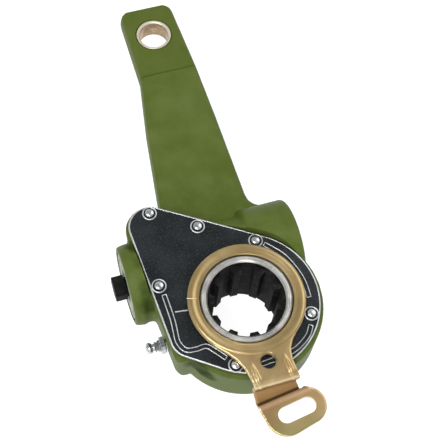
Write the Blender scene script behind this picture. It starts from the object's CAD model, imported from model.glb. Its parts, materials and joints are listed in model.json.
import json
import math

import bpy
from mathutils import Matrix, Vector


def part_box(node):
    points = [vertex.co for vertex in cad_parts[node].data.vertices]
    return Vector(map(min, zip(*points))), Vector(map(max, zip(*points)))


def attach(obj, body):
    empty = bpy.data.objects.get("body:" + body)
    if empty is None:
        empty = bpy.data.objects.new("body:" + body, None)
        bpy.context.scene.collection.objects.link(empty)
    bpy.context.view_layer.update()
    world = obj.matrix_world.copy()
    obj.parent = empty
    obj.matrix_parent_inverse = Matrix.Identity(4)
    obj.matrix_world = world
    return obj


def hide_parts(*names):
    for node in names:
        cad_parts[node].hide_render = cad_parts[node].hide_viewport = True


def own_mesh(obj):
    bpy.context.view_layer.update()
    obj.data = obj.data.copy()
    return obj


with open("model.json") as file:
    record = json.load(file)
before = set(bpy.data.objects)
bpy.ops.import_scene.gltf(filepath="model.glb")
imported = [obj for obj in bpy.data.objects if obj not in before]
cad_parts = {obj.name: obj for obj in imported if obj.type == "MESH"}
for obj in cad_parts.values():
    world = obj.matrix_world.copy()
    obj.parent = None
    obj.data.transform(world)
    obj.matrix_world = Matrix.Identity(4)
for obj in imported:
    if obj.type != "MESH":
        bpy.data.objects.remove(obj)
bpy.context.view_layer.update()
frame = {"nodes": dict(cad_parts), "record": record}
hubLow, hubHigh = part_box("worm_wheel")
hub = Vector(((hubLow.x + hubHigh.x) / 2, (hubLow.y + hubHigh.y) / 2, hubHigh.z))   # the hub's front face
mm = 0.001
housingBody = "housing_body"
hubBody = "hub_body"
controlBody = "control_body"
print("frame loaded, hub at", [round(v, 4) for v in hub])


# ---- the camera stands where the photograph was taken from
cameraSetup = {
    "lens": 83.16, "sensor": 36.0, "clip": 0.01,
    "spot": (-90.08, -158.64, 454.58),                    # mm from the hub's front face
    "right": (0.95310631, -0.29727253, 0.05672217),
    "up": (0.24470202, 0.86727793, 0.4335319),
    "back": (-0.17807101, -0.39932196, 0.89935126),
}


def addCamera(setup):
    bpy.ops.object.select_all(action="DESELECT")
    bpy.ops.object.camera_add()
    camera = bpy.context.object
    camera.name = "photoCamera"
    camera.data.lens = setup["lens"]
    camera.data.sensor_width = setup["sensor"]
    camera.data.clip_start = setup["clip"]
    turn = Matrix((setup["right"], setup["up"], setup["back"])).transposed().to_4x4()
    camera.matrix_world = Matrix.Translation(hub + Vector(setup["spot"]) * mm) @ turn
    bpy.context.scene.camera = camera


addCamera(cameraSetup)


# ---- shader maths written as expressions
class Wire:
    def __init__(self, recipe, socket):
        self.recipe = recipe
        self.socket = socket

    def math(self, operation, other, turned=False):
        pair = [other, self] if turned else [self, other]
        return self.recipe.node("ShaderNodeMath", {"operation": operation}, {0: pair[0], 1: pair[1]})

    def __add__(self, other):
        return self.math("ADD", other)

    def __radd__(self, other):
        return self.math("ADD", other, True)

    def __sub__(self, other):
        return self.math("SUBTRACT", other)

    def __rsub__(self, other):
        return self.math("SUBTRACT", other, True)

    def __mul__(self, other):
        return self.math("MULTIPLY", other)

    def __rmul__(self, other):
        return self.math("MULTIPLY", other, True)


class Recipe:
    def __init__(self, name, metallic, roughness, specular):
        self.material = bpy.data.materials.new(name)
        self.material.use_nodes = True
        self.tree = self.material.node_tree
        self.shader = self.tree.nodes["Principled BSDF"]
        self.shader.inputs["Metallic"].default_value = metallic
        self.shader.inputs["Roughness"].default_value = roughness
        self.shader.inputs["Specular IOR Level"].default_value = specular
        self.place = self.node("ShaderNodeTexCoord", out="Object")
        self.facing = Wire(self, self.place.socket.node.outputs["Normal"])

    def node(self, kind, settings=None, inputs=None, out=0):
        made = self.tree.nodes.new(kind)
        for key, value in (settings or {}).items():
            setattr(made, key, value)
        for key, value in (inputs or {}).items():
            if isinstance(value, Wire):
                self.tree.links.new(value.socket, made.inputs[key])
            else:
                made.inputs[key].default_value = value
        return Wire(self, made.outputs[out])

    def noise(self, scale, detail, rough, stretch=None):
        where = self.place
        if stretch:
            where = self.node("ShaderNodeMapping", None, {"Vector": where, "Scale": stretch})
        return self.node("ShaderNodeTexNoise", {"noise_dimensions": "3D"},
                         {"Vector": where, "Scale": scale, "Detail": detail, "Roughness": rough})

    def step(self, value, low, high, flip=False):
        ends = (1.0, 0.0) if flip else (0.0, 1.0)
        return self.node("ShaderNodeMapRange", {"interpolation_type": "SMOOTHSTEP"},
                         {"Value": value, "From Min": low, "From Max": high,
                          "To Min": ends[0], "To Max": ends[1]})

    def ramp(self, value, origin, ends, flip=False):
        # a step whose ends are given in mm from an origin in metres
        return self.step(value, origin + ends[0] * mm, origin + ends[1] * mm, flip)

    def mix(self, mask, first, second):
        colours = [c if isinstance(c, Wire) else (*c, 1.0) for c in (first, second)]
        return self.node("ShaderNodeMix", {"data_type": "RGBA"},
                         {0: mask, 6: colours[0], 7: colours[1]}, out=2)

    def bump(self, height, distance, strength):
        return self.node("ShaderNodeBump", None,
                         {"Height": height, "Distance": distance, "Strength": strength}, out="Normal")

    def use(self, **sockets):
        names = {"colour": "Base Color", "rough": "Roughness", "normal": "Normal"}
        for key, value in sockets.items():
            self.tree.links.new(value.socket, self.shader.inputs[names[key]])
        return self.material

    def part(self, vector, which):
        split = self.node("ShaderNodeSeparateXYZ", None, {0: vector})
        return Wire(self, split.socket.node.outputs[which])

    def reach(self, centre):
        # distance from a point, in metres
        moved = self.node("ShaderNodeVectorMath", {"operation": "SUBTRACT"},
                          {0: self.place, 1: tuple(centre)})
        return self.node("ShaderNodeVectorMath", {"operation": "LENGTH"}, {0: moved}, out="Value")

    def axis(self, centre):
        # distance from the Z line through a point, in metres
        moved = self.node("ShaderNodeMapping", None,
                          {"Vector": self.place, "Location": (-centre[0], -centre[1], 0.0),
                           "Scale": (1.0, 1.0, 0.0)})
        return self.node("ShaderNodeVectorMath", {"operation": "LENGTH"}, {0: moved}, out="Value")


def clouded(name, tone):
    recipe = Recipe(name, *tone["base"])
    cloud = recipe.noise(*tone["cloud"])
    return recipe, cloud, recipe.mix(recipe.step(cloud, *tone["fade"]), tone["deep"], tone["mid"])


def coat(recipe, tone, cloud, colour, relief):
    spread, least = tone["rough"]
    return recipe.use(colour=colour, rough=cloud * spread + least,
                      normal=recipe.bump(relief, *tone["bump"]))


# ---- finishes: a base is metallic, roughness, specular; a noise is scale, detail, roughness
greenTone = {
    "base": (0.0, 0.5, 0.14), "deep": (0.062, 0.09, 0.01), "mid": (0.085, 0.114, 0.024),
    "pale": (0.14, 0.175, 0.06), "soot": (0.02, 0.034, 0.002), "head": (0.068, 0.094, 0.012),
    "cloud": (70.0, 4.0, 0.6), "fade": (0.3, 0.72), "rough": (0.2, 0.38),
    "grain": (900.0, 2.0, 0.6), "grainFade": (0.64, 0.82), "grainShare": 0.3,
    "headRise": (139.2, 139.8), "headShare": 0.5,
    "creaseRise": (138.9, 139.4), "creaseFall": (139.7, 140.4), "creaseShare": 0.5,
    "grime": (((-30.0, -23.0, -12.5), 8.5), ((-27.0, -26.6, -17.0), 6.5), ((-43.8, 14.0, -12.0), 8.0),
              ((-44.8, 22.0, -8.5), 8.0), ((-45.0, 32.0, -7.0), 7.0), ((-44.2, 42.0, -9.0), 7.0)),
    "grimeWander": 0.9, "grimeCore": 0.45, "grimeShare": 0.85, "grimeRough": 0.22,
    "relief": (420.0, 3.0, 0.55), "reliefShares": (0.7, 0.3), "bump": (0.00022, 0.55),
}


def greenPaint(tone):
    # paint over the casting, deeper on the arm's head and dirty in the corners
    recipe, cloud, colour = clouded("greenPaint", tone)
    grain = recipe.noise(*tone["grain"])
    colour = recipe.mix(recipe.step(grain, *tone["grainFade"]) * tone["grainShare"], colour, tone["pale"])
    y = recipe.part(recipe.place, "Y")
    colour = recipe.mix(recipe.ramp(y, hub.y, tone["headRise"]) * tone["headShare"], colour, tone["head"])
    crease = recipe.ramp(y, hub.y, tone["creaseRise"]) * recipe.ramp(y, hub.y, tone["creaseFall"], True)
    colour = recipe.mix(crease * tone["creaseShare"], colour, tone["soot"])
    spread, least = tone["rough"]
    rough = cloud * spread + least
    for spot, radius in tone["grime"]:
        wander = (cloud - 0.5) * (radius * tone["grimeWander"] * mm)
        away = recipe.reach(local(spot)) + wander
        dirt = recipe.step(away, radius * tone["grimeCore"] * mm, radius * mm, True)
        colour = recipe.mix(dirt * tone["grimeShare"], colour, tone["soot"])
        rough = rough + dirt * tone["grimeRough"]
    coarse, small = tone["reliefShares"]
    height = recipe.noise(*tone["relief"]) * coarse + grain * small
    return recipe.use(colour=colour, rough=rough, normal=recipe.bump(height, *tone["bump"]))


coverTone = {
    "base": (0.0, 0.24, 0.2), "deep": (0.008, 0.01, 0.011), "mid": (0.016, 0.019, 0.021),
    "dust": (0.075, 0.08, 0.083), "cloud": (60.0, 4.0, 0.6), "fade": (0.35, 0.68),
    "speck": (1100.0, 2.0, 0.7), "speckFade": (0.54, 0.74), "speckShare": 0.5,
    "rough": (0.16, 0.17), "bump": (0.00005, 0.3),
}


def coverCoat(tone):
    recipe, cloud, colour = clouded("coverCoat", tone)
    speck = recipe.noise(*tone["speck"])
    colour = recipe.mix(recipe.step(speck, *tone["speckFade"]) * tone["speckShare"], colour, tone["dust"])
    return coat(recipe, tone, cloud, colour, speck)


goldTone = {
    "base": (0.8, 0.3, 0.5), "deep": (0.34, 0.245, 0.105), "mid": (0.47, 0.36, 0.18),
    "pale": (0.72, 0.62, 0.4), "rose": (0.46, 0.28, 0.13), "bend": (0.34, 0.19, 0.07),
    "shade": (0.05, 0.022, 0.008), "blush": (0.78, 0.48, 0.32), "olive": (0.3, 0.28, 0.12),
    "cloud": (46.0, 4.0, 0.55), "fade": (0.34, 0.7), "paleFade": (0.6, 0.76), "paleShare": 0.5,
    "tint": (26.0, 2.0, 0.5), "tintFade": (0.52, 0.7), "tintShare": 0.4,
    "bendRise": (-18.0, -16.5), "bendFall": (-5.2, -3.0), "bendShare": 0.85,
    "footRise": (-18.8, -17.8), "footFall": (-16.8, -15.5), "footShare": 0.92,
    "tabFall": (-19.2, -18.6), "tabSlope": 0.12, "blushRise": (-51.5, -49.5), "blushShare": 0.8,
    "oliveSlope": 0.2, "oliveFall": (-62.0, -52.0), "oliveShare": 0.8, "plateRise": (-3.5, -2.8),
    "edgeFall": (0.3, 0.75), "edgeRise": (-0.6, -0.4), "edgeShare": 0.75,
    "fine": (1100.0, 3.0, 0.6), "brushed": (260.0, 3.0, 0.6, (1.0, 0.12, 1.0)), "fineShare": 0.5,
    "rough": (0.2, 0.22), "bump": (0.00009, 0.4),
}


def goldZinc(tone):
    # yellow plating, with the colours that run over its bends, its tab and its cut edges
    recipe, cloud, colour = clouded("goldZinc", tone)
    tint = recipe.noise(*tone["tint"])
    fine = recipe.noise(*tone["fine"])
    up = recipe.part(recipe.facing, "Z")
    x, y, z = (recipe.part(recipe.place, which) for which in "XYZ")
    colour = recipe.mix(recipe.step(cloud, *tone["paleFade"]) * tone["paleShare"], colour, tone["pale"])
    colour = recipe.mix(recipe.step(tint, *tone["tintFade"]) * tone["tintShare"], colour, tone["rose"])
    bends = recipe.ramp(z, hub.z, tone["bendRise"]) * recipe.ramp(z, hub.z, tone["bendFall"], True)
    colour = recipe.mix(bends * tone["bendShare"], colour, tone["bend"])
    foot = recipe.ramp(z, hub.z, tone["footRise"]) * recipe.ramp(z, hub.z, tone["footFall"], True)
    colour = recipe.mix(foot * tone["footShare"], colour, tone["shade"])
    tab = recipe.ramp(z, hub.z, tone["tabFall"], True)
    slant = y - x * tone["tabSlope"]
    blush = recipe.ramp(slant, hub.y, tone["blushRise"]) * tab
    colour = recipe.mix(blush * tone["blushShare"], colour, tone["blush"])
    olive = recipe.ramp(slant + x * tone["oliveSlope"], hub.y, tone["oliveFall"], True) * tab
    colour = recipe.mix(olive * tone["oliveShare"], colour, tone["olive"])
    flats = recipe.ramp(z, hub.z, tone["plateRise"]) + tab
    edges = recipe.step(up, *tone["edgeFall"], True) * recipe.step(up, *tone["edgeRise"]) * flats
    colour = recipe.mix(edges * tone["edgeShare"], colour, tone["pale"])
    height = fine * tone["fineShare"] + recipe.noise(*tone["brushed"]) * (1.0 - tone["fineShare"])
    return coat(recipe, tone, cloud, colour, height)


turnedTone = {
    "base": (0.9, 0.34, 0.5), "deep": (0.42, 0.41, 0.385), "mid": (0.66, 0.65, 0.62),
    "cloud": (120.0, 4.0, 0.6), "fade": (0.34, 0.7), "wobble": (300.0, 2.0, 0.5), "wobbleShare": 3.0,
    "pitch": 9000.0, "rough": (0.2, 0.2), "bump": (0.00003, 0.5),
}


def turnedSteel(tone):
    # tool marks run in rings round the hub's axis
    recipe, cloud, colour = clouded("turnedSteel", tone)
    wobble = recipe.noise(*tone["wobble"]) * tone["wobbleShare"]
    rings = (recipe.axis(hub) * tone["pitch"] + wobble).math("SINE", 0.0)
    return coat(recipe, tone, cloud, colour, rings)


plainTones = {
    "boreOxide": {"base": (0.0, 0.7, 0.06), "deep": (0.006, 0.006, 0.006), "mid": (0.03, 0.029, 0.028),
                  "cloud": (240.0, 4.0, 0.6), "fade": (0.4, 0.75), "rough": (0.2, 0.55),
                  "grain": (700.0, 2.0, 0.6, (1.0, 1.0, 0.08)), "bump": (0.00008, 0.5)},
    "blackOxide": {"base": (0.0, 0.5, 0.08), "deep": (0.003, 0.003, 0.0035), "mid": (0.012, 0.012, 0.013),
                   "cloud": (180.0, 4.0, 0.6), "fade": (0.4, 0.72), "rough": (0.2, 0.45),
                   "grain": (900.0, 3.0, 0.5), "bump": (0.00008, 0.4)},
    "bushBronze": {"base": (0.8, 0.36, 0.5), "deep": (0.26, 0.17, 0.09), "mid": (0.55, 0.43, 0.3),
                   "cloud": (160.0, 4.0, 0.6), "fade": (0.36, 0.7), "rough": (0.2, 0.28),
                   "rim": (0.78, 0.74, 0.6), "rimFade": (0.25, 0.6), "rimShare": 0.85,
                   "grain": (500.0, 2.0, 0.6, (1.0, 1.0, 0.15)), "bump": (0.00008, 0.4)},
    "sealRubber": {"base": (0.0, 0.62, 0.4), "deep": (0.012, 0.012, 0.012), "mid": (0.03, 0.03, 0.03),
                   "cloud": (350.0, 3.0, 0.6), "fade": (0.4, 0.7), "rough": (0.2, 0.5),
                   "grain": (350.0, 3.0, 0.6), "bump": (0.0001, 0.4)},
    "gasketFibre": {"base": (0.0, 0.85, 0.2), "deep": (0.15, 0.12, 0.08), "mid": (0.28, 0.24, 0.17),
                    "cloud": (700.0, 4.0, 0.7, (1.0, 0.3, 1.0)), "fade": (0.4, 0.65), "rough": (0.0, 0.85),
                    "grain": (700.0, 4.0, 0.7, (1.0, 0.3, 1.0)), "bump": (0.0001, 0.5)},
    "endPaint": {"base": (0.0, 0.5, 0.4), "deep": (0.2, 0.22, 0.16), "mid": (0.36, 0.38, 0.31),
                 "cloud": (90.0, 4.0, 0.6), "fade": (0.35, 0.7), "rough": (0.2, 0.4),
                 "grain": (700.0, 3.0, 0.5), "bump": (0.0001, 0.5)},
}
steelTone = {"base": (0.95, 0.3, 0.5), "cloud": (220.0, 3.0, 0.6), "fade": (0.38, 0.68), "spread": 0.22,
             "under": 0.08, "grain": (1400.0, 2.0, 0.6), "bump": (0.00006, 0.35)}
floorTone = {"base": (0.0, 0.9, 0.1), "glow": 0.93, "cloud": (3.0, 2.0, 0.4), "share": 0.2,
             "pale": (0.27, 0.27, 0.27), "deep": (0.25, 0.25, 0.25)}


def plainFinish(name, tone):
    # a clouded colour and roughness over a fine relief, with a paler rim where the piece has one
    recipe, cloud, colour = clouded(name, tone)
    if "rim" in tone:
        upward = recipe.step(recipe.part(recipe.facing, "Z"), *tone["rimFade"])
        colour = recipe.mix(upward * tone["rimShare"], colour, tone["rim"])
    return coat(recipe, tone, cloud, colour, recipe.noise(*tone["grain"]))


def brightSteel(name, mid, deep, rough):
    levels = (steelTone["spread"], rough - steelTone["under"])
    return plainFinish(name, dict(steelTone, mid=mid, deep=deep, rough=levels))


def studioFloor(tone):
    # a light table: pale, and lit a little from within
    recipe = Recipe("studioFloor", *tone["base"])
    recipe.shader.inputs["Emission Color"].default_value = (1.0, 1.0, 1.0, 1.0)
    recipe.shader.inputs["Emission Strength"].default_value = tone["glow"]
    cloud = recipe.noise(*tone["cloud"])
    return recipe.use(colour=recipe.mix(cloud * tone["share"], tone["pale"], tone["deep"]))


def local(spot):
    # mm from the hub's front face, as a place in metres
    return hub + Vector(spot) * mm


paint = greenPaint(greenTone)
cover = coverCoat(coverTone)
gold = goldZinc(goldTone)
steel = turnedSteel(turnedTone)
bright = brightSteel("brightSteel", (0.62, 0.64, 0.64), (0.4, 0.42, 0.42), 0.22)
zinc = brightSteel("brightZinc", (0.72, 0.74, 0.76), (0.5, 0.52, 0.54), 0.26)
innerSteel = brightSteel("groundSteel", (0.5, 0.51, 0.52), (0.34, 0.35, 0.36), 0.34)
paleGold = brightSteel("paleGold", (0.86, 0.78, 0.6), (0.74, 0.64, 0.44), 0.3)
trimSilver = brightSteel("trimSilver", (0.6, 0.61, 0.62), (0.48, 0.49, 0.5), 0.38)
nippleSteel = brightSteel("nippleSteel", (0.64, 0.65, 0.66), (0.26, 0.265, 0.27), 0.18)
plain = {name: plainFinish(name, tone) for name, tone in plainTones.items()}
slotFinish = {
    "green_paint": paint, "dark_cover": cover, "yellow_zinc": gold, "machined_steel": innerSteel,
    "black_oxide": plain["blackOxide"], "bright_zinc": zinc, "bush_bronze": plain["bushBronze"],
    "seal_rubber": plain["sealRubber"], "gasket_fibre": plain["gasketFibre"],
}
print("materials ready")


# ---- modelling helpers
def freshObject(name, kind, **options):
    bpy.ops.object.select_all(action="DESELECT")
    getattr(bpy.ops.mesh, "primitive_" + kind + "_add")(**options)
    made = bpy.context.object
    made.name = name
    made.data.name = name
    return made


def choose(*pieces):
    bpy.ops.object.select_all(action="DESELECT")
    for piece in pieces:
        piece.select_set(True)
    bpy.context.view_layer.objects.active = pieces[0]


def flatFace(name, spots, fill="NGON"):
    # a closed line through places in mm, filled unless it is to be spun
    made = freshObject(name, "circle", vertices=len(spots), fill_type=fill)
    for vertex, spot in zip(made.data.vertices, spots):
        vertex.co = local(spot)
    return made


def edit(piece):
    choose(piece)
    bpy.ops.object.mode_set(mode="EDIT")
    bpy.ops.mesh.select_all(action="SELECT")


def leave():
    bpy.ops.object.mode_set(mode="OBJECT")


def tidyShell(piece, doubles=0.000002):
    edit(piece)
    bpy.ops.mesh.remove_doubles(threshold=doubles)
    bpy.ops.mesh.normals_make_consistent(inside=False)
    leave()


def lathe(name, profile, steps=96, axis="Z", centre=(0.0, 0.0, 0.0)):
    # spins a closed profile of (radius, height) in mm round an axis through a point
    turn = {"Z": lambda r, h: (r, 0.0, h), "X": lambda r, h: (h, r, 0.0)}[axis]
    way = {"Z": (0.0, 0.0, 1.0), "X": (1.0, 0.0, 0.0)}[axis]
    made = flatFace(name, [Vector(centre) + Vector(turn(r, h)) for r, h in profile], "NOTHING")
    edit(made)
    bpy.ops.mesh.spin(steps=steps, angle=2 * math.pi, center=local(centre), axis=way, use_auto_merge=True)
    leave()
    tidyShell(made)
    return made


def rod(name, radius, start, end, steps=96, axis="Z", centre=(0.0, 0.0, 0.0)):
    # a plain cylinder, for cuts
    return lathe(name, [(0.0, start), (radius, start), (radius, end), (0.0, end)], steps, axis, centre)


def arc(cx, cy, r, start, end, count):
    return [(cx + r * math.cos(math.radians(start + (end - start) * i / count)),
             cy + r * math.sin(math.radians(start + (end - start) * i / count))) for i in range(count + 1)]


def belt(circles, margin, step=4.0):
    # the outline of a belt round circles
    normals = []
    for i, (x, y, r) in enumerate(circles):
        nx, ny, nr = circles[(i + 1) % len(circles)]
        along = math.atan2(ny - y, nx - x)
        normals.append(math.degrees(along + math.asin((r - nr) / math.hypot(nx - x, ny - y))) - 90.0)
    outline = []
    for i, (x, y, r) in enumerate(circles):
        sweep = (normals[i] - normals[i - 1]) % 360.0
        first = normals[i - 1]
        outline += arc(x, y, r + margin, first, first + sweep, max(4, round(sweep / step)))
    return outline


def slab(name, outline, low, high, taper=1.0, about=(0.0, 0.0)):
    # a flat outline, extruded down and drawn in towards a point
    made = flatFace(name, [(x, y, high) for x, y in outline])
    edit(made)
    bpy.ops.mesh.extrude_region_move(TRANSFORM_OT_translate={"value": (0.0, 0.0, (low - high) * mm)})
    if taper != 1.0:
        bpy.ops.transform.resize(value=(taper, taper, 1.0), center_override=local((*about, low)))
    leave()
    tidyShell(made)
    return made


def applyAll(piece):
    choose(piece)
    for modifier in list(piece.modifiers):
        bpy.ops.object.modifier_apply(modifier=modifier.name)


def boolean(piece, others, operation):
    for other in others:
        modifier = piece.modifiers.new("join", "BOOLEAN")
        modifier.operation = operation
        modifier.object = other
        modifier.solver = "EXACT"
        applyAll(piece)
        bpy.data.objects.remove(other, do_unlink=True)
    return piece


def joined(name, pieces):
    choose(*pieces)
    bpy.ops.object.join()
    pieces[0].name = name
    return pieces[0]


def meld(name, solids, voxel, rounds):
    # fuses solids into one skin with rounded edges, as a casting or a pressing has
    piece = joined(name, solids)
    remesh = piece.modifiers.new("skin", "REMESH")
    remesh.mode = "VOXEL"
    remesh.voxel_size = voxel * mm
    applyAll(piece)
    smooth = piece.modifiers.new("soften", "SMOOTH")
    smooth.factor = 0.5
    smooth.iterations = rounds
    applyAll(piece)
    return piece


def settle(piece, body, finish, nodes=(), smooth=35.0, extra=()):
    # gives a finished piece its finish, its shading and the body that it rides on
    choose(piece)
    bpy.ops.object.transform_apply(location=True, rotation=True, scale=True)
    bpy.ops.object.shade_smooth_by_angle(angle=math.radians(smooth))
    piece.data.materials.clear()
    for material in (finish, *extra):
        piece.data.materials.append(material)
    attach(piece, body)
    if nodes:
        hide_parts(*nodes)
    return piece


def smoothPath(points, per=8):
    # a soft line through points
    spots = [Vector(p) for p in points]
    spots = [spots[0] * 2 - spots[1]] + spots + [spots[-1] * 2 - spots[-2]]
    line = []
    for a, b, c, d in zip(spots, spots[1:], spots[2:], spots[3:]):
        for i in range(per):
            t = i / per
            line.append(0.5 * (2 * b + (c - a) * t + (2 * a - 5 * b + 4 * c - d) * t * t
                               + (3 * b - a - 3 * c + d) * t * t * t))
    return line + [spots[-2]]


def tube(name, points, radius, closed=False):
    # a round bar along a line of points in mm
    bpy.ops.object.select_all(action="DESELECT")
    bpy.ops.curve.primitive_nurbs_path_add()
    made = bpy.context.object
    made.name = name
    made.data.splines.clear()
    spline = made.data.splines.new("POLY")
    spline.points.add(len(points) - 1)
    for point, spot in zip(spline.points, points):
        point.co = (*local(spot), 1.0)
    spline.use_cyclic_u = closed
    made.data.dimensions = "3D"
    made.data.bevel_depth = radius * mm
    made.data.bevel_resolution = 2
    made.data.use_fill_caps = not closed
    made.location = (0.0, 0.0, 0.0)
    bpy.ops.object.convert(target="MESH")
    made = bpy.context.object
    tidyShell(made, doubles=0.0000005)
    return made


# ---- cast housing with its arm
coverCircles = ((0.0, 0.0, 36.3), (-33.7, 51.0, 11.0), (-30.5, -10.0, 10.5))   # x, y, radius
armShape = {
    "edge": 1.5, "lean": 0.8, "low": 70.0, "fold": 139.5, "end": 183.3, "ease": 6.0, "snap": 0.45,
    "upward": 0.93,
    "stations": (        # y, half width left, half width right, top, bottom
        (183.72, 11.9, 11.3, -7.4, -19.4), (183.2, 13.4, 12.9, -7.4, -19.4),
        (182.2, 14.5, 14.1, -7.4, -19.4), (180.9, 15.1, 14.9, -7.4, -19.4),
        (179.3, 15.2, 15.2, -7.4, -19.4), (139.5, 15.2, 17.6, -7.4, -19.4),
        (109.5, 20.0, 19.7, -12.55, -25.68), (69.0, 24.6, 22.0, -19.5, -34.0),
        (64.0, 24.9, 22.0, -19.5, -34.0), (59.5, 25.1, 22.8, -19.5, -34.0),
        (56.5, 25.3, 25.2, -19.5, -34.0), (54.5, 25.5, 29.0, -19.5, -34.0),
        (45.0, 25.5, 29.0, -19.5, -34.0)),
}
housingShape = {
    "skinVoxel": 0.85, "softening": 5, "smooth": 42.0, "wallR": 1.6,
    "drumR": 38.3, "seatZ": -6.7, "drumRim": -31.0, "drumRound": 6.5, "footR": 27.5, "backZ": -43.6,
    "heel": (-41.0, -20.2), "heelRound": 3.6, "heelEnd": -5.0, "caseEnd": 22.0, "caseLow": -10.0,
    "caseRight": 32.0, "caseDraft": (0.962, (-12.0, 18.0)),
    "footIn": 2.8, "footRight": -17.7, "footLap": 4.0, "footDraft": (0.97, (-30.0, 20.0)),
    "wormY": 30.4, "midZ": -22.0, "leftX": -52.5, "barrelR": 20.3, "barrelEnd": 16.0, "collarR": 20.2,
    "collarWide": 21.0, "collar": 5.0,
    "bossR": 22.0, "bossEdge": 1.2, "bossX": (12.0, 37.0), "bossRise": 1.4,
    "seatPlay": 0.7, "seatDeep": 20.0, "capR": 17.7, "capDeep": 5.5,
    "plugR": 15.5, "plugDeep": 5.9, "plugLead": ((0.8, 4.0), (0.8, 0.2), (0.0, -0.6)),
    "chamber": ((0.0, -5.0), (29.2, -5.0), (29.2, -33.5), (22.6, -33.5), (22.6, -50.0), (0.0, -50.0)),
    "line": ((12.0, -18.2), (9.4, -18.0), (9.4, 18.0), (12.0, 18.2)), "lineIn": 5.0,
    "bushY": 165.0, "boreR": 9.6,
    "bore": ((1.0, -4.0), (0.6, -7.4), (0.1, -8.0), (0.1, -18.8), (0.8, -19.5), (0.8, -24.0)),
    "grease": (2.9, -47.0, -38.4), "greaseAt": (0.0, -5.2, -19.5),
}


def armSection(y, left, right, top, bottom):
    edge = armShape["edge"]
    lean = armShape["lean"]
    middle = (top + bottom) / 2
    one = [(right - lean - edge, top), (right - lean, top - edge), (right, middle),
           (right - lean / 2, bottom + edge), (right - lean / 2 - edge, bottom)]
    two = [(-(left - lean / 2 - edge), bottom), (-(left - lean / 2), bottom + edge), (-left, middle),
           (-(left - lean), top - edge), (-(left - lean - edge), top)]
    return [(x, y, z) for x, z in one + two]


def buildArm(stations):
    # each station's section is extruded from the one before it
    first = armSection(*stations[0])
    arm = flatFace("armBlank", first)
    for station in stations[1:]:
        edit(arm)
        bpy.ops.mesh.select_all(action="DESELECT")
        leave()
        start = len(arm.data.vertices) - len(first)
        for vertex in list(arm.data.vertices)[start:]:
            vertex.select = True
        for edge in arm.data.edges:
            edge.select = all(v >= start for v in edge.vertices)
        for face in arm.data.polygons:
            face.select = all(v >= start for v in face.vertices)
        bpy.ops.object.mode_set(mode="EDIT")
        bpy.ops.mesh.extrude_region_move()
        leave()
        for vertex, spot in zip(list(arm.data.vertices)[-len(first):], armSection(*station)):
            vertex.co = local(spot)
    tidyShell(arm)
    return arm


def trueArm(piece, shape, voxel):
    # brings the skin back to the arm's flat faces and its fold, which the softening blurs
    topAt = {station[0]: station[3] for station in shape["stations"]}
    places = sorted(topAt)
    upward = [vertex.index for vertex in piece.data.vertices if vertex.normal.z > shape["upward"]]
    for index in upward:
        vertex = piece.data.vertices[index]
        spot = (vertex.co - hub) / mm
        if not shape["low"] < spot.y < shape["end"]:
            continue
        if abs(spot.y - shape["fold"]) < voxel * shape["snap"]:
            spot.y = shape["fold"]
        a = max(p for p in places if p <= spot.y)
        b = min(p for p in places if p > spot.y)
        flat = topAt[a] + (topAt[b] - topAt[a]) * (spot.y - a) / (b - a)
        spot.z += (flat - spot.z) * min(1.0, (spot.y - shape["low"]) / shape["ease"])
        vertex.co = local(spot)


def housingSolids(shape):
    # drum, case under the cover, foot under its tower, worm barrel, boss and arm
    seat = shape["seatZ"]
    rim = shape["drumRim"]
    under = rim - shape["drumRound"]
    drum = [(0.0, seat), (shape["drumR"], seat)]
    drum += arc(shape["drumR"] - shape["drumRound"], rim, shape["drumRound"], 0, -90, 8)
    drum += [(shape["footR"], under), (shape["footR"], shape["backZ"]), (0.0, shape["backZ"])]
    solids = [lathe("drumBlank", drum)]
    wall = belt(coverCircles, shape["wallR"])
    upper = [p for p in wall if p[1] > shape["caseLow"] and (p[0] > 0.0 or p[1] > 0.0)]
    first = min(range(len(upper)), key=lambda i: math.atan2(upper[i][1], upper[i][0]) % (2 * math.pi))
    upper = [p for p in upper[first:] + upper[:first] if p[0] < shape["caseRight"]]
    hx, hy = shape["heel"]
    r = shape["heelRound"]
    case = upper + arc(hx + r, hy + r, r, 180, 270, 6) + [(shape["heelEnd"], hy), (shape["caseEnd"], 0.0)]
    solids.append(slab("caseBlank", case, rim, seat, *shape["caseDraft"]))
    inset = shape["footIn"]
    tx, ty, tr = coverCircles[1]
    foot = arc(hx + inset + r, hy + inset + r, r, 180, 270, 6)
    foot += [(shape["footRight"], hy + inset), (shape["footRight"], ty)]
    foot += arc(tx, ty, tr + shape["wallR"] - inset, 80, 176, 12)
    solids.append(slab("footBlank", foot, shape["backZ"], rim + shape["footLap"], *shape["footDraft"]))
    left = shape["leftX"]
    neck = left + shape["collar"]
    barrel = [(0.0, left), (shape["collarR"], left), (shape["collarWide"], neck),
              (shape["barrelR"], neck + 1.0), (shape["barrelR"], shape["barrelEnd"]),
              (0.0, shape["barrelEnd"])]
    solids.append(lathe("barrelBlank", barrel, 96, "X", (0.0, shape["wormY"], shape["midZ"])))
    inner, outer = shape["bossX"]
    radius = shape["bossR"]
    edge = shape["bossEdge"]
    boss = [(0.0, outer), (radius - edge, outer), (radius, outer - edge), (radius, inner), (0.0, inner)]
    centre = (0.0, shape["wormY"] + shape["bossRise"], shape["midZ"])
    solids.append(lathe("bossBlank", boss, 96, "X", centre))
    return solids + [buildArm(armShape["stations"])]


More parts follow.
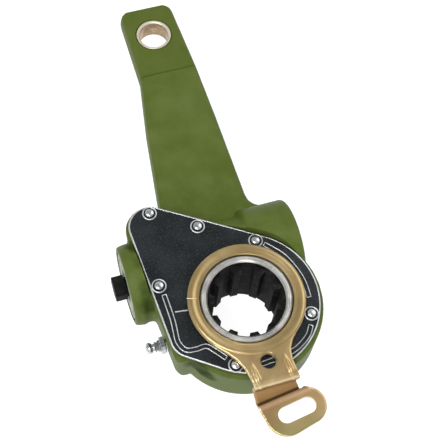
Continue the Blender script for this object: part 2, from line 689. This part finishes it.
def housingCuts(shape):
    # the cover's seat, the hub's chamber, the worm's line with its cap and plug, bush and nipple
    axis = (0.0, shape["wormY"], shape["midZ"])
    left = shape["leftX"]
    right = shape["bossX"][1]
    seat = slab("seatCut", belt(coverCircles, shape["seatPlay"]), shape["seatZ"],
                shape["seatZ"] + shape["seatDeep"])
    chamber = lathe("chamberCut", shape["chamber"])
    cap = rod("capCut", shape["capR"], left - 4.0, left + shape["capDeep"], 96, "X", axis)
    lead = [(shape["plugR"] + past, right + out) for past, out in shape["plugLead"]]
    plug = lathe("plugCut", [(0.0, lead[0][1])] + lead + [(shape["plugR"], right - shape["plugDeep"]),
                                                          (0.0, right - shape["plugDeep"])], 96, "X", axis)
    wide = shape["line"][0][0]
    start, end = left + shape["lineIn"], right - shape["lineIn"]
    line = [(0.0, start), (wide, start), *shape["line"], (wide, end), (0.0, end)]
    line = lathe("lineCut", line, 64, "X", axis)
    bore = [(shape["boreR"] + past, z) for past, z in shape["bore"]]
    bore = lathe("boreCut", [(0.0, bore[0][1])] + bore + [(0.0, bore[-1][1])], 96, "Z",
                 (0.0, shape["bushY"], 0.0))
    grease = rod("greaseCut", *shape["grease"], 32, "X", shape["greaseAt"])
    return [seat, chamber, cap, plug, line, bore, grease]


def buildHousing(shape):
    piece = meld("housingCasting", housingSolids(shape), shape["skinVoxel"], shape["softening"])
    boolean(piece, housingCuts(shape), "DIFFERENCE")
    trueArm(piece, armShape, shape["skinVoxel"])
    return settle(piece, housingBody, paint, ("housing",), shape["smooth"])


casting = buildHousing(housingShape)
print("housing done", len(casting.data.polygons))


# ---- cover plate with its bright edge line, bead lines and rivet seats
coverShape = {
    "top": -4.0, "thick": 1.5, "margin": -0.5, "boreR": 27.0, "holeR": 1.9, "edgeR": 0.48, "edgeSink": 0.8,
    "rivets": ((-32.3, 58.0), (-11.2, 44.6), (14.4, 29.3), (28.4, -14.9), (-14.6, -29.3), (-38.4, 19.1)),
    "seatR": 3.35, "seatRise": 0.25, "seatEdge": 0.3, "seatSink": 0.5, "seatTube": 0.42,
    "beadHalf": 1.05, "lineR": 0.3, "markR": 0.38, "mark": ((-34.7, 4.1), (-31.5, 3.7), (-28.6, 3.3)),
    "beads": (
        ((-37.3, 14.0), (-36.9, 1.6), (-37.2, -4.6), (-37.5, -10.8), (-35.0, -15.6), (-29.9, -16.6),
         (-25.4, -16.4), (-22.3, -19.3), (-18.0, -24.7)),
        ((17.9, 26.4), (24.0, 19.5), (27.2, 13.6), (29.7, 5.6), (30.3, 0.0), (30.1, -6.5)),
        ((26.2, -20.4), (23.1, -24.8), (17.6, -28.6), (12.8, -30.4), (6.0, -31.6), (1.0, -32.0),
         (-4.0, -32.4))),
}


def beadLine(points, half, top, radius):
    # the worn bright line round a long pressed bead
    path = smoothPath([(x, y, 0.0) for x, y in points], 6)
    sides = [[], []]
    for i, spot in enumerate(path):
        ahead = path[min(i + 1, len(path) - 1)] - path[max(i - 1, 0)]
        across = Vector((-ahead.y, ahead.x, 0.0)).normalized() * half
        sides[0].append(spot + across)
        sides[1].append(spot - across)
    return tube("beadLine", [(p.x, p.y, top) for p in sides[0] + sides[1][::-1]], radius, True)


def buildCover(shape):
    top = shape["top"]
    r = shape["seatR"]
    plate = slab("coverPlate", belt(coverCircles, shape["margin"]), top - shape["thick"], top)
    profile = [(0.0, top + shape["seatRise"]), (r - shape["seatEdge"], top + shape["seatRise"]), (r, top),
               (r, top - shape["seatSink"]), (0.0, top - shape["seatSink"])]
    pads = [lathe("pad", profile, 40, "Z", (x, y, 0.0)) for x, y in shape["rivets"]]
    boolean(plate, pads, "UNION")
    cuts = [rod("coverBore", shape["boreR"], top + 2.0, top - 3.0, 128)]
    for x, y in shape["rivets"]:
        cuts.append(rod("hole", shape["holeR"], top + 2.0, top - 3.0, 24, "Z", (x, y, 0.0)))
    boolean(plate, cuts, "DIFFERENCE")
    settle(plate, housingBody, cover, ("cover_plate",), 30.0)
    height = top - shape["edgeR"] * shape["edgeSink"]
    outline = [(x, y, height) for x, y in belt(coverCircles, -shape["edgeR"])]
    edge = tube("coverEdge", outline, shape["edgeR"], True)
    settle(edge, housingBody, trimSilver, (), 60.0)
    lines = [beadLine(points, shape["beadHalf"], top, shape["lineR"]) for points in shape["beads"]]
    lines.append(tube("indexLine", [(x, y, top) for x, y in shape["mark"]], shape["markR"]))
    turns = [2 * math.pi * i / 32 for i in range(32)]
    for x, y in shape["rivets"]:
        ring = [(x + r * math.cos(a), y + r * math.sin(a), top) for a in turns]
        lines.append(tube("seatRing", ring, shape["seatTube"], True))
    settle(joined("coverBeads", lines), housingBody, trimSilver, (), 60.0)


buildCover(coverShape)
print("cover done")


# ---- domed rivets
rivetShape = {
    "headR": 2.2, "seat": -3.45, "lip": 0.15, "rim": 0.6, "dome": 0.75,
    "shankR": 1.6, "foot": -11.7, "tipIn": 0.5, "tipUp": 0.6,
}


def buildRivets(shape):
    seat = shape["seat"]
    high = seat + shape["lip"]
    r = shape["headR"]
    dome = [(x, high + y * shape["dome"] / r) for x, y in arc(0.0, 0.0, r, 90, 8, 8)]
    dome[0] = (0.0, dome[0][1])
    shank, foot = shape["shankR"], shape["foot"]
    profile = dome + [(r, seat + shape["lip"] * shape["rim"]), (r - shape["lip"], seat), (shank, seat),
                      (shank, foot + shape["tipUp"]), (shank - shape["tipIn"], foot), (0.0, foot)]
    for number, (x, y) in enumerate(coverShape["rivets"], 1):
        rivet = lathe("rivet%d" % number, profile, 40, "Z", (x, y, 0.0))
        settle(rivet, housingBody, bright, ("cover_rivet_%d" % number,), 40.0)


buildRivets(rivetShape)
print("rivets done")


# ---- plated control arm
controlShape = {
    "voxel": 0.42, "softening": 3, "smooth": 50.0, "low": -2.25, "thick": 2.2,
    "ringR": 28.4, "ringPast": 0.3, "boreR": 22.9, "half": 40.0, "ends": (20.0, -80.0),
    "bendY": -43.6, "bendR": 4.2, "tabTop": -19.0, "tabY": -46.4, "tabSlope": 0.12,
    "slotA": (3.7, -55.3), "slotB": (15.1, -53.6), "slotR": 4.1, "tabA": 10.3, "tabB": 9.2,
    "ringTurn": (-38, 212), "tabTurn": (182, 14),
    "left": ((-21.5, -19.4), (-17.6, -23.6), (-14.2, -28.0), (-11.9, -33.0), (-10.6, -38.0)), "leftX": -9.6,
    "rightBend": ((13.6, -1.6), (12.0, 2.0)), "right": ((11.5, -34.6), (12.3, -29.8), (14.6, -25.8)),
    "hole": (0.2, -32.6, 3.6), "holeEdge": 0.5,
    "ribX": (-8.2, 8.0), "ribR": 0.75,
    "rib": ((0.0, -32.2, -0.5), (0.5, -36.5, 0.0), (1.0, -40.4, -0.1), (1.3, -42.6, -1.7),
            (1.5, -43.4, -4.6)),
}
ringShape = {
    "rise": 0.5, "sink": 0.6, "mark": ((-27.9, 7.6), (-23.3, 6.4)), "markR": 0.2, "markSink": 0.08,
    "lip": ((0.0, -0.25), (0.25, 0.0), (0.75, 0.0), (0.95, -0.16), (2.3, -0.2), (2.6, -0.06)),
    "brim": ((-1.3, -0.02), (-0.75, -0.1), (-0.3, -0.28), (0.0, -0.6)), "brimPast": 0.12, "brimDrop": 0.25,
}


def slotLean(shape):
    (ax, ay), (bx, by) = shape["slotA"], shape["slotB"]
    return math.degrees(math.atan2(by - ay, bx - ax))


def stripProfile(shape, x):
    # the arm from the side, at x: plate, bend down, bend out, tab
    top = shape["low"] + shape["thick"]
    bend = shape["bendR"]
    inner = bend - shape["thick"]
    near, far = shape["ends"]
    turnY = shape["bendY"] + bend
    low = shape["tabY"] + shape["tabSlope"] * x - inner
    over = shape["tabTop"] + inner
    outer = [(near, top)] + arc(turnY, top - bend, bend, 90, 180, 10)
    outer += arc(low, over, inner, 0, -90, 8) + [(far, shape["tabTop"])]
    under = [(far, shape["tabTop"] - shape["thick"])]
    under += arc(low, over, inner + shape["thick"], -90, 0, 10)
    under += arc(turnY, top - bend, inner, 180, 90, 8) + [(near, top - shape["thick"])]
    return outer + under


def controlOutline(shape):
    # the arm from the front: ring, flared neck and slotted tab
    lean = slotLean(shape)
    bend = shape["bendY"]
    ring = arc(0.0, 0.0, shape["ringR"] + shape["ringPast"], *shape["ringTurn"], 60)
    left = [*shape["left"], (shape["leftX"], bend)]
    first, last = shape["tabTurn"]
    tab = arc(*shape["slotA"], shape["tabA"], first, 270 + lean, 18)
    tab += arc(*shape["slotB"], shape["tabB"], 270 + lean, 450 + lean - last, 24)
    right = [(x, bend + y) for x, y in shape["rightBend"]] + list(shape["right"])
    return ring + left + tab + right


def bentStrip(shape):
    half = shape["half"]
    profile = stripProfile(shape, -half)
    strip = flatFace("stripBlank", [(-half, y, z) for y, z in profile])
    edit(strip)
    bpy.ops.mesh.extrude_region_move()
    leave()
    for vertex, (y, z) in zip(list(strip.data.vertices)[len(profile):], stripProfile(shape, half)):
        vertex.co = local((half, y, z))
    edit(strip)
    bpy.ops.mesh.quads_convert_to_tris()
    leave()
    tidyShell(strip)
    return strip


def buildControlArm(shape):
    low = shape["low"]
    top = low + shape["thick"]
    strip = bentStrip(shape)
    boolean(strip, [slab("outlineBlank", controlOutline(shape), -30.0, 8.0)], "INTERSECT")
    edge = shape["ringR"] + shape["ringPast"]
    bore = shape["boreR"]
    solids = [strip, lathe("ringPlate", [(bore, low), (edge, low), (edge, top), (bore, top)], 128)]
    for side in shape["ribX"]:
        path = smoothPath([(side + x, y, top + z) for x, y, z in shape["rib"]], 4)
        solids.append(tube("ribBar", [tuple(p) for p in path], shape["ribR"]))
    boolean(strip, [rod("ringBore", bore, 6.0, low - 3.0, 128)], "DIFFERENCE")
    piece = meld("controlPlate", solids, shape["voxel"], shape["softening"])
    hx, hy, r = shape["hole"]
    wide = r + shape["holeEdge"]
    hole = lathe("plateHole", [(0.0, 3.0), (wide, 3.0), (wide, top), (r, top - shape["holeEdge"]),
                               (r, low - 2.0), (0.0, low - 2.0)], 64, "Z", (hx, hy, 0.0))
    lean = slotLean(shape)
    line = arc(*shape["slotA"], shape["slotR"], 90 + lean, 270 + lean, 24)
    line += arc(*shape["slotB"], shape["slotR"], 270 + lean, 450 + lean, 24)
    slot = slab("slotCut", line, shape["tabTop"] - 6.0, shape["tabTop"] + 4.0)
    boolean(piece, [hole, slot], "DIFFERENCE")
    return settle(piece, controlBody, gold, ("control_arm",), shape["smooth"])


def buildControlRing(arm, shape):
    # the turned rim round the control arm's bore, with its index mark
    top = arm["low"] + arm["thick"]
    high = top + shape["rise"]
    foot = top - shape["sink"]
    past = arm["ringR"] + shape["brimPast"]
    profile = [(arm["boreR"], foot)] + [(arm["boreR"] + x, high + z) for x, z in shape["lip"]]
    profile += [(arm["ringR"] + x, high + z) for x, z in shape["brim"]]
    rim = lathe("controlRing", profile + [(past, top - shape["brimDrop"]), (past, foot)], 160)
    mark = tube("indexMark", [(x, y, high - shape["markSink"]) for x, y in shape["mark"]], shape["markR"])
    settle(mark, controlBody, paleGold, (), 28.0)
    settle(rim, controlBody, gold, (), 28.0)


controlPlate = buildControlArm(controlShape)
buildControlRing(controlShape, ringShape)
print("control arm done", len(controlPlate.data.polygons))


# ---- splined hub with the worm wheel's teeth on it
hubShape = {
    "length": 44.0, "outR": 22.2, "rootR": 19.05, "rootPlay": 0.05, "tipR": 15.4,
    "teeth": 10, "turn": -93.0, "slot": 6.0, "slotIn": 2.0,
    "frontBore": 6.5, "backBore": 8.5, "lead": 1.6, "edge": 0.9, "rim": 0.5,
    "seals": (-7.6, -38.45), "grooveR": 20.4, "grooveHalf": 1.1,
    "face": ((0.85, 0.0), (1.3, 0.0), (1.38, -0.15), (1.6, -0.15), (1.68, 0.0)),   # past the root, height
    "wheelTeeth": 24, "wheelR": 23.4, "wheelRootR": 21.6, "wheelTipR": 24.9, "wheelZ": (-11.0, -33.0),
    "coreR": 21.0, "pressure": 20.0, "halfTooth": 1.366, "twist": 0.00595, "smooth": 28.0,
}


def polar(r, a):
    return r * math.cos(a), r * math.sin(a)


def splineStar(shape):
    # ten parallel-sided grooves joined inside the tips of the teeth
    half = shape["slot"] / 2
    root = shape["rootR"]
    inside = shape["tipR"] - shape["slotIn"]
    reach = math.sqrt(root ** 2 - half ** 2)
    star = []
    for k in range(shape["teeth"]):
        a = math.radians(shape["turn"] + 360.0 / shape["teeth"] * (k + 0.5))
        c, s = math.cos(a), math.sin(a)
        for far, across in ((inside, -half), (reach, -half), (root, 0.0), (reach, half), (inside, half)):
            star.append((far * c - across * s, far * s + across * c))
    return star


def buildSleeve(shape):
    out = shape["outR"]
    rim = shape["rim"]
    root = shape["rootR"] + shape["rootPlay"]
    end = -shape["length"]
    profile = [(root, -shape["edge"])] + [(root + past, z) for past, z in shape["face"]]
    profile += [(out - rim, 0.0), (out, -rim)]
    for z in shape["seals"]:
        upper, lower = z + shape["grooveHalf"], z - shape["grooveHalf"]
        profile += [(out, upper), (shape["grooveR"], upper), (shape["grooveR"], lower), (out, lower)]
    front, back = -shape["frontBore"], end + shape["backBore"]
    profile += [(out, end + rim), (out - rim, end), (root + shape["face"][0][0], end),
                (root, end + shape["edge"]), (root, back - shape["lead"]), (shape["tipR"], back),
                (shape["tipR"], front), (root, front + shape["lead"])]
    sleeve = lathe("splinedHub", profile, 160)
    boolean(sleeve, [slab("splineCut", splineStar(shape), end - 1.0, front + 2.0)], "DIFFERENCE")
    return sleeve


def buildWheel(shape):
    # the teeth are extruded, and their far end is then turned along with the worm's thread
    teeth = shape["wheelTeeth"]
    slope = math.tan(math.radians(shape["pressure"]))
    flank = [(r, (shape["halfTooth"] - slope * (r - shape["wheelR"])) / r)
             for r in (shape["wheelRootR"], shape["wheelR"], shape["wheelTipR"])]
    section = [(r, -h) for r, h in flank] + flank[::-1]
    high, low = shape["wheelZ"]
    rows = []
    for z in (high, low):
        shift = math.pi / 2 + math.pi / teeth + (z - (high + low) / 2) * shape["twist"]
        turns = [shift + 2 * math.pi * k / teeth for k in range(teeth)]
        rows.append([polar(r, turn + h) for turn in turns for r, h in section])
    wheel = slab("wheelTeeth", rows[0], low, high)
    for vertex in wheel.data.vertices:
        spot = (vertex.co - hub) / mm
        if abs(spot.z - low) < 0.01:
            near = min(range(len(rows[0])), key=lambda i: math.dist(rows[0][i], (spot.x, spot.y)))
            vertex.co = local((*rows[1][near], low))
    boolean(wheel, [rod("wheelCore", shape["coreR"], high + 1.0, low - 1.0)], "DIFFERENCE")
    return wheel


def buildHub(shape):
    sleeve = buildSleeve(shape)
    boolean(sleeve, [buildWheel(shape)], "UNION")
    settle(sleeve, hubBody, steel, ("worm_wheel",), shape["smooth"],
           (plain["boreOxide"],))
    bore = shape["rootR"] + shape["rootPlay"] + 0.02
    for face in sleeve.data.polygons:
        spot = (face.center - hub) / mm
        if math.hypot(spot.x, spot.y) < bore and 1.0 - shape["length"] < spot.z < -shape["edge"]:
            face.material_index = 1


buildHub(hubShape)
print("hub done")


# ---- bush, cap, nipple
bushShape = {"boreR": 8.0, "outR": 9.5, "top": -7.6, "bottom": -19.2, "chamfer": 0.6, "edge": 0.2}
capShape = {
    "x": -52.5, "outR": 17.4, "edge": 0.7, "holeR": 8.5, "holeEdge": 0.4, "deep": 5.2, "face": 0.3,
    "groove": ((13.2, 0.0), (13.6, 0.5), (14.6, 0.5), (15.0, 0.0)), "backR": 5.4, "backThick": 1.3,
}
nippleShape = {
    "y": -5.2, "z": -19.5, "wall": -41.6, "root": (2.5, -38.8), "headR": 3.0, "hexR": 4.5, "hexEdge": 0.5,
    "hex": (3.3, 2.9, 1.0, 0.6),                          # how far out from the wall
    "stem": ((2.5, 3.2), (2.9, 3.4), (2.9, 4.2), (2.2, 4.5), (2.2, 5.0), (2.6, 5.2), (2.6, 5.7), (1.8, 6.1),
             (1.7, 6.9), (2.3, 7.3)),
    "ball": ((-0.3, 7.8), (0.0, 8.5), (-0.15, 9.2), (-0.7, 9.9)),
    "mouth": ((1.1, 10.3), (0.6, 9.9), (0.0, 9.9)),
}


def buildBush(shape):
    c = shape["chamfer"]
    e = shape["edge"]
    bore, out, top, bottom = (shape[key] for key in ("boreR", "outR", "top", "bottom"))
    profile = [(bore + c, top), (out - e, top), (out, top - e), (out, bottom + e), (out - e, bottom),
               (bore + c, bottom), (bore, bottom + c), (bore, top - c)]
    bush = lathe("armBush", profile, 96, "Z", (0.0, housingShape["bushY"], 0.0))
    settle(bush, housingBody, plain["bushBronze"], ("clevis_bush",), 30.0)


def buildCap(shape):
    x = shape["x"] + shape["face"]
    inner = shape["x"] + shape["deep"]
    step = inner - shape["backThick"]
    r = shape["outR"]
    edge = shape["edge"]
    profile = [(shape["holeR"], x + shape["holeEdge"]), (shape["holeR"] + shape["holeEdge"], x)]
    profile += [(radius, x + deep) for radius, deep in shape["groove"]]
    profile += [(r - edge, x), (r, x + edge), (r, inner), (shape["backR"], inner), (shape["backR"], step),
                (shape["holeR"], step)]
    cap = lathe("barrelCap", profile, 96, "X", (0.0, housingShape["wormY"], housingShape["midZ"]))
    settle(cap, housingBody, plain["endPaint"], ("worm_cap",), 30.0)


def buildNipple(shape):
    wall = shape["wall"]
    centre = (0.0, shape["y"], shape["z"])
    r, root = shape["root"]
    rows = [*shape["stem"], *((shape["headR"] + past, out) for past, out in shape["ball"]), *shape["mouth"]]
    profile = [(0.0, root), (r, root)] + [(radius, wall - out) for radius, out in rows]
    stem = lathe("greaseNipple", profile, 48, "X", centre)
    r = shape["hexR"]
    small = r - shape["hexEdge"]
    far, outer, near, last = (wall - out for out in shape["hex"])
    profile = [(0.0, far), (small, far), (r, outer), (r, near), (small, last), (0.0, last)]
    boolean(stem, [lathe("nippleHexagon", profile, 6, "X", centre)], "UNION")
    settle(stem, housingBody, nippleSteel, ("grease_nipple",), 30.0)


buildBush(bushShape)
buildCap(capShape)
buildNipple(nippleShape)
print("small pieces done")


# ---- the spring over the rack, which closes up as the rack rises
rackSpringShape = {
    "x": -31.7, "low": 43.3, "high": 54.3, "meanR": 1.9, "wireR": 0.4, "turns": 5, "closed": 0.34,
}


def buildRackSpring(shape):
    lowest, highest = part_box("rack_spring")
    z = ((lowest.z + highest.z) / 2 - hub.z) / mm
    start = shape["low"] + shape["wireR"]
    climb = shape["high"] - shape["low"] - 2 * shape["wireR"]
    steps = shape["turns"] * 20
    line = []
    for i in range(steps + 1):
        a = 2 * math.pi * shape["turns"] * i / steps
        line.append((shape["x"] + shape["meanR"] * math.sin(a), start + climb * i / steps,
                     z + shape["meanR"] * math.cos(a)))
    spring = tube("rackSpring", line, shape["wireR"])
    settle(spring, housingBody, zinc, ("rack_spring",), 60.0)
    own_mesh(spring)


buildRackSpring(rackSpringShape)
print("rack spring done")


# ---- finishes of the CAD nodes that stay
for nodeName, node in frame["nodes"].items():
    slotName = next(s["material_slot"] for s in frame["record"]["subparts"] if s["node"] == nodeName)
    node.data.materials.clear()
    node.data.materials.append(slotFinish[slotName])


# ---- floor and light
studio = {
    "floorSize": 6.0, "floorDrop": -0.0005, "zenith": 0.4, "horizon": 0.75, "fade": (0.55, 0.95),
    "lamps": (        # name, spot, size, watts
        ("keyPanel", (-0.6, -0.35, 1.3), 0.7, 15.0),
        ("fillPanel", (0.9, 0.3, 1.1), 0.9, 6.0),
        ("frontPanel", (-0.3, -1.2, 0.7), 0.6, 3.0)),
}


def buildStudio(setup):
    spot = (0.0, 0.0, setup["floorDrop"])
    floor = freshObject("studioFloor", "plane", size=setup["floorSize"], location=spot)
    bpy.ops.object.transform_apply(location=True, rotation=True, scale=True)
    floor.data.materials.append(studioFloor(floorTone))
    for name, spot, size, watts in setup["lamps"]:
        bpy.ops.object.select_all(action="DESELECT")
        bpy.ops.object.light_add(type="AREA", location=spot)
        lamp = bpy.context.object
        lamp.name = name
        lamp.data.size = size
        lamp.data.energy = watts
        lamp.rotation_euler = (-Vector(spot)).to_track_quat("-Z", "Y").to_euler()


def buildWorld(setup):
    # a light tent, darker where its top opens
    world = bpy.context.scene.world or bpy.data.worlds.new("studio")
    bpy.context.scene.world = world
    world.use_nodes = True
    tree = world.node_tree
    way = tree.nodes.new("ShaderNodeTexCoord")
    split = tree.nodes.new("ShaderNodeSeparateXYZ")
    fade = tree.nodes.new("ShaderNodeMapRange")
    fade.interpolation_type = "SMOOTHSTEP"
    ends = (*setup["fade"], setup["horizon"], setup["zenith"])
    for key, value in zip(("From Min", "From Max", "To Min", "To Max"), ends):
        fade.inputs[key].default_value = value
    tree.links.new(way.outputs["Generated"], split.inputs[0])
    tree.links.new(split.outputs["Z"], fade.inputs["Value"])
    tree.links.new(fade.outputs[0], tree.nodes["Background"].inputs["Strength"])
    tree.nodes["Background"].inputs["Color"].default_value = (1.0, 1.0, 1.0, 1.0)
    bpy.context.scene.view_settings.view_transform = "Standard"


buildStudio(studio)
buildWorld(studio)
print("scene ready")
